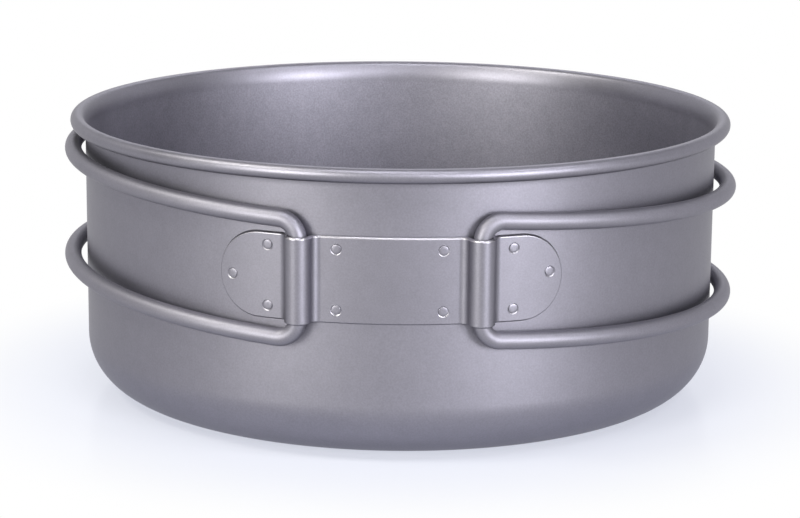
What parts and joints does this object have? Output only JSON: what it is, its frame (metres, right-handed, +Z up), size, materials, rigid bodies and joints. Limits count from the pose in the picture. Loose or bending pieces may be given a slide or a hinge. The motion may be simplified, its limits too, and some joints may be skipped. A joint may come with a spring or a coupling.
{
  "type": "cooking pot",
  "caption": "Round titanium camping pot with a rolled rim and folding wire handles hinged in a strip welded to its wall.",
  "frame": {"origin": "centre of the flat base, on the pot's axis", "axes": "+Z up along the pot's axis; -Y out of the front, where the hinge strip is; +X to the right seen from the front"},
  "size_m": [0.1604, 0.157, 0.066],
  "materials": {
    "titanium_body": "fine sandblasted titanium, dull grey",
    "titanium_strip": "fine sandblasted titanium sheet, dull grey",
    "titanium_wire": "satin titanium wire",
    "titanium_weld": "pressed weld face, dull grey"
  },
  "bodies": {
    "pot": {"pot_body": "titanium_body", "hinge_bracket": "titanium_strip", "left_tip_weld": "titanium_weld", "left_tab_upper_weld": "titanium_weld", "left_tab_lower_weld": "titanium_weld", "plate_left_upper_weld": "titanium_weld", "plate_left_lower_weld": "titanium_weld", "plate_right_upper_weld": "titanium_weld", "plate_right_lower_weld": "titanium_weld", "right_tab_upper_weld": "titanium_weld", "right_tab_lower_weld": "titanium_weld", "right_tip_weld": "titanium_weld"},
    "left_loop": {"left_handle": "titanium_wire"},
    "right_loop": {"right_handle": "titanium_wire"}
  },
  "joints": [
    {"name": "left_handle_hinge", "type": "hinge", "parent": "pot", "child": "left_loop", "pos_m": [-0.01976, -0.07468, 0.0412], "axis": [0, 0, 1], "range_deg": [0, 140]},
    {"name": "right_handle_hinge", "type": "hinge", "parent": "pot", "child": "right_loop", "pos_m": [0.01976, -0.07468, 0.0412], "axis": [0, 0, -1], "range_deg": [0, 140]}
  ]
}
